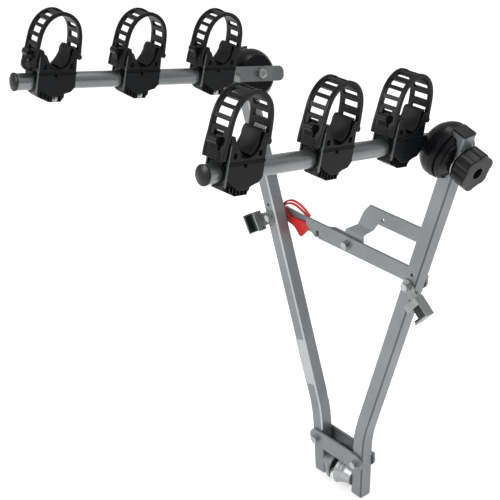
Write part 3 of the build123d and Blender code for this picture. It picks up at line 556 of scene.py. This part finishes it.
for side_name, side in SIDES.items():
    threads(f"{side_name}_foot_thread", "foot", (side * FOOT[0], FOOT_THREAD, FOOT[1]))
    head_mark(f"{side_name}_foot_head", "foot", (side * FOOT[0], FOOT_HEAD, FOOT[1]))
    head_mark(f"{side_name}_leg_head", f"{side_name}_leg", (side * BRACE[0], LEG_HEAD, BRACE[1]))
    inwards = arm_axes(side)[0] * -side
    head_mark(f"{side_name}_arm_head", f"{side_name}_arm", arm_pivot(side) + inwards * ARM_HEAD,
              inwards, ARM_HEAD_RADIUS)
threads("lever_thread", "strut", (LEVER_PIVOT[0], LEVER_THREAD, LEVER_PIVOT[1]))
threads("strut_thread", "right_leg", (BRACE[0], STRUT_THREAD, BRACE[1]))
head_mark("lever_head", "strut", (LEVER_PIVOT[0], LEVER_HEAD, LEVER_PIVOT[1]))

# Safety strap: two cords over a band with its pull tab, as (along, up) from the link's stud
STUD = frame_at((-BRACE[0], 0, BRACE[1]), FORWARDS, UPWARDS, SIDEWAYS)
CORDS = [[(-9, 3), (2, 18), (19, 28), (38, 28), (56, 21), (66, 14)],
         [(-3, 10), (12, 20), (30, 22), (50, 16), (66, 9)]]
CORD_NEAR, CORD_FAR = 17.5, 20.7
CORD_HALF_THICKNESS = 1.5
BAND = [(-9, 2), (0, -13), (24, -19), (34, -27), (42, -33), (50, -26), (61, -13), (63, -4), (48, -2),
        (24, -4), (8, 1), (-3, 11)]
BAND_NEAR, BAND_FAR = 17.3, 20.9
BAND_OVERLAP = 3
BAND_STEPS = 5

strap = Shape()
for cord in CORDS:
    strap.strip(smooth_path(cord), CORD_NEAR, CORD_FAR, -CORD_HALF_THICKNESS, CORD_HALF_THICKNESS)
overlapping = smooth_path(BAND[-BAND_OVERLAP:] + BAND + BAND[:BAND_OVERLAP], BAND_STEPS)
band_start = BAND_OVERLAP * BAND_STEPS
band_end = band_start + len(BAND) * BAND_STEPS
strap.prism(overlapping[band_start:band_end], BAND_NEAR, BAND_FAR, FROM_SIDE)
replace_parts(strap.make("safety_strap_cords", "red_rubber", "link", STUD), "safety_strap")

# Link plate, slimmer at the stud than at the lever's pin, with each end as (centre, radius, angles)
PIN_END = ((92.68, -7.5), 13, range(-95, 96, 10))
STUD_END = ((0, 0), 8.2, range(85, 276, 10))
LINK_NEAR, LINK_FAR = 21.4, 25.4

plate = Shape()
plate_outline = [(centre[0] + radius * cos(radians(angle)), centre[1] + radius * sin(radians(angle)))
                 for centre, radius, angles in (PIN_END, STUD_END) for angle in angles]
plate.prism(plate_outline, LINK_NEAR, LINK_FAR, FROM_SIDE)
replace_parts(plate.make("brace_link_plate", "brace_steel", "link", STUD), "brace_link")

# Right clip: closed side and front lip, and thin dark plates that paint the shade of a bend slot and a
# hole, as (centre, size) down its slope
CLIP_SLOPE = radians(41)
CLIP_BACK = -12.8
CLIP_SIDE = ((41, 17, 8), (34, 1.6, 16))
CLIP_LIP = ((30, 0, 15.4), (12, 34, 1.6))
CLIP_SLOT = ((22.6, -4, 2.6), (1.4, 20, 0.5))
CLIP_HOLE = ((17, 9.6, 2.6), (6, 2.4, 0.5))

clip = frame_at((BRACE[0], CLIP_BACK, BRACE[1]), (cos(CLIP_SLOPE), 0, -sin(CLIP_SLOPE)),
                (sin(CLIP_SLOPE), 0, cos(CLIP_SLOPE)), BACKWARDS)
walls = Shape()
walls.block(*CLIP_SIDE)
walls.block(*CLIP_LIP)
walls.make("right_clip_walls", "clip_zinc", "right_clip", clip, smooth=False)
# Dark plates in the clip rubber's colour: painted shade where the bend slot and the hole are
slots = Shape()
slots.block(*CLIP_SLOT)
slots.block(*CLIP_HOLE)
slots.make("right_clip_slot_shades", "clip_rubber", "right_clip", clip, smooth=False)

# Right cup narrowed towards its leg: its new radii, and the solid's outer radii at four places
CUP_LIP_END, CUP_BACK = 9, 37.7
CUP_LIP_RADIUS, CUP_BACK_RADIUS = 28.4, 15
CUP_TAPER = 1.6
CUP_SOLID_PLACES = (11.8, 16, 22, CUP_BACK)
CUP_SOLID_RADII = (28.8, 25.2, 25.8, 24)
CUP_OUTSIDE_SHARE = 0.93
CUP_BACK_FACE = 36
CUP_DIGITS = 3


def narrowed(point):
    """A point of the solid, moved towards the cup's axis if it is on its outside or its back."""
    radius = Vector((point.y, point.z)).length
    was = np.interp(point.x, CUP_SOLID_PLACES, CUP_SOLID_RADII)
    share = min(1, max(0, (CUP_BACK - point.x) / (CUP_BACK - CUP_LIP_END)))
    now = CUP_BACK_RADIUS + (CUP_LIP_RADIUS - CUP_BACK_RADIUS) * share ** CUP_TAPER
    if radius > CUP_OUTSIDE_SHARE * was or point.x > CUP_BACK_FACE:
        return Vector((point.x, point.y * now / was, point.z * now / was))
    return point


# Points that meet become one, and faces that lose a corner by it are left out
cup = frame["nodes"]["right_cup"]
found = {}
corners = []
for vertex in cup.data.vertices:
    point = narrowed((cup.matrix_world @ vertex.co) / MM)
    rounded = tuple(round(value, CUP_DIGITS) for value in point)
    corners.append(found.setdefault(rounded, len(found)))
cup_faces = [[corners[number] for number in face.vertices] for face in cup.data.polygons]
cone = Shape()
cone.take(list(found), [face for face in cup_faces if len(set(face)) == len(face)])
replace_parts(cone.make("right_cup_cone", "cast_cup", "right_leg"), "right_cup")

# Bare label on the left leg's rear face
LABEL_TOP, LABEL_BOTTOM = 233.5, 152
LABEL_INNER, LABEL_OUTER = -10.5, 11.8
LABEL_FACE, LABEL_BACK = -12.62, -12.4


def left_leg_point(height, out):
    """A place on the left leg's centre line at a height, moved outwards across the leg."""
    x = BRACE[0] + (height - BRACE[1]) * tan(LEAN)
    return -(x + out * cos(LEAN)), height - out * sin(LEAN)


label = Shape()
label_outline = [left_leg_point(LABEL_TOP, LABEL_INNER), left_leg_point(LABEL_TOP, LABEL_OUTER),
                 left_leg_point(LABEL_BOTTOM, LABEL_OUTER), left_leg_point(LABEL_BOTTOM, LABEL_INNER)]
label.prism(label_outline, LABEL_FACE, LABEL_BACK, FROM_BEHIND)
label.make("left_leg_label", "label_paper", "left_leg", smooth=False)

# Fine lines along the legs' rear corners: a painted highlight on the left leg's inner corner and a painted
# shade line on the right leg's outer corner
HALF_LEG = 12.5
CORNER_RADIUS = 3
CORNER_BACK = -9.5
LINE_OUTSIDE, LINE_INSIDE = 3.11, 2.6
LINE_ANGLES = [radians(angle) for angle in (15, 35, 55, 75)]
LINE_SECTION = ([(LINE_OUTSIDE * cos(angle), LINE_OUTSIDE * sin(angle)) for angle in LINE_ANGLES]
                + [(LINE_INSIDE * cos(angle), LINE_INSIDE * sin(angle)) for angle in reversed(LINE_ANGLES)])
LEFT_LINE_START, LEFT_LINE_END = 22, 570
RIGHT_LINE_START, RIGHT_LINE_END = -71.5, 600
INNER, OUTER = -1, 1
BEND_STEPS = 8

knee = (FOOT[0] + KNEE_RISE * sin(FOOT_LEAN), FOOT[1] + KNEE_RISE * cos(FOOT_LEAN))
run_in = BEND_RADIUS * tan((LEAN - FOOT_LEAN) / 2)
bend_centre = (knee[0] - run_in * sin(FOOT_LEAN) + BEND_RADIUS * cos(FOOT_LEAN),
               knee[1] - run_in * cos(FOOT_LEAN) - BEND_RADIUS * sin(FOOT_LEAN))


def corner_line(side_name, slot, way, start, end):
    """A strip round a leg's inner or outer corner.

    It goes from start above the foot's bolt, round the bend, to end above the knee.
    """
    side = SIDES[side_name]
    places = [(FOOT[0] + start * sin(FOOT_LEAN), FOOT[1] + start * cos(FOOT_LEAN), FOOT_LEAN)]
    for step in range(BEND_STEPS + 1):
        lean = FOOT_LEAN + (LEAN - FOOT_LEAN) * step / BEND_STEPS
        places.append((bend_centre[0] - BEND_RADIUS * cos(lean),
                       bend_centre[1] + BEND_RADIUS * sin(lean), lean))
    places.append((knee[0] + end * sin(LEAN), knee[1] + end * cos(LEAN), LEAN))
    rings = []
    for x, z, lean in places:
        ring = []
        for across, back in LINE_SECTION:
            out = way * (HALF_LEG - CORNER_RADIUS + across)
            ring.append((side * (x + out * cos(lean)), CORNER_BACK - back, z - out * sin(lean)))
        rings.append(ring)
    line = Shape()
    line.join(rings)
    line.make(f"{side_name}_leg_edge", slot, f"{side_name}_leg")


corner_line("left", "leg_painted_highlight", INNER, LEFT_LINE_START, LEFT_LINE_END)
corner_line("right", "leg_painted_shade", OUTER, RIGHT_LINE_START, RIGHT_LINE_END)

# Floor
FLOOR_SIZE = 60000
FLOOR_LEVEL = -30
FLOOR_COLOUR = (0.9, 0.9, 0.9)
FLOOR_SHADE = 0.98
FLOOR_PATCH = 1.5
FLOOR_DETAIL = 3.0
FLOOR_ROUGHNESS = 0.8
FLOOR_GLOSS = 0.1
FLOOR_GLOW = 0.45


def floor_paper():
    material, tree, shader = new_material("floor_paper")
    patches = spread(tree, noise(tree, FLOOR_PATCH, FLOOR_DETAIL), 0, 1)
    tone = mix_colour(tree, patches, FLOOR_COLOUR, tuple(value * FLOOR_SHADE for value in FLOOR_COLOUR))
    tree.links.new(tone, shader.inputs["Base Color"])
    shader.inputs["Roughness"].default_value = FLOOR_ROUGHNESS
    shader.inputs["Specular IOR Level"].default_value = FLOOR_GLOSS
    tree.links.new(tone, shader.inputs["Emission Color"])
    shader.inputs["Emission Strength"].default_value = FLOOR_GLOW
    return material


bpy.ops.mesh.primitive_plane_add(size=FLOOR_SIZE * MM, location=(0, 0, FLOOR_LEVEL * MM))
floor = bpy.context.object
floor.name = "floor"
floor.data.materials.append(floor_paper())

# White sky, brighter towards its top
SKY_STRENGTH = (0.3, 0.7)
SKY_SPAN = (-0.1, 0.8)

world = bpy.data.worlds.new("studio")
bpy.context.scene.world = world
world.use_nodes = True
sky = world.node_tree
background = sky.nodes["Background"]
background.inputs["Color"].default_value = (1, 1, 1, 1)
direction = sky.nodes.new("ShaderNodeTexCoord")
split = sky.nodes.new("ShaderNodeSeparateXYZ")
sky.links.new(direction.outputs["Generated"], split.inputs["Vector"])
sky.links.new(spread(sky, split.outputs["Z"], *SKY_STRENGTH, SKY_SPAN), background.inputs["Strength"])

# Softboxes, as place, size and watts, all turned to the same middle
MIDDLE = Vector((0, -200, 450))
SOFTBOXES = {
    "key_light": ((-1200, -3000, 2200), (900, 1200), 58),
    "fill_light": ((3000, -600, 1400), (800, 1200), 9),
    "top_light": ((300, 600, 3200), (1500, 1000), 30),
}


def softbox(name, place, size, watts):
    data = bpy.data.lights.new(name, "AREA")
    data.shape = "RECTANGLE"
    data.size, data.size_y = (length * MM for length in size)
    data.energy = watts
    lamp = bpy.data.objects.new(name, data)
    bpy.context.scene.collection.objects.link(lamp)
    lamp.location = Vector(place) * MM
    lamp.rotation_euler = (MIDDLE - Vector(place)).to_track_quat("-Z", "Y").to_euler()


for name, (place, size, watts) in SOFTBOXES.items():
    softbox(name, place, size, watts)

# Camera where the photo was taken from, with the directions of the picture
CAMERA_PLACE = (1301.5, -1218.0, 1400.3)
PICTURE_RIGHT = Vector((0.63506, 0.7715, -0.03857))
PICTURE_DOWN = Vector((0.34198, -0.32556, -0.88151))
PICTURE_FORWARD = Vector((-0.69264, 0.54662, -0.47059))
SENSOR_WIDTH = 36.0
FOCAL_LENGTH = 88.46
FARTHEST_VIEW = 100000

camera_data = bpy.data.cameras.new("camera")
camera = bpy.data.objects.new("camera", camera_data)
bpy.context.scene.collection.objects.link(camera)
bpy.context.scene.camera = camera
camera_data.sensor_width = SENSOR_WIDTH
camera_data.lens = FOCAL_LENGTH
camera_data.clip_end = FARTHEST_VIEW * MM
camera.matrix_world = frame_at(CAMERA_PLACE, PICTURE_RIGHT, -PICTURE_DOWN, -PICTURE_FORWARD)

scene = bpy.context.scene
scene.view_settings.view_transform = "Standard"
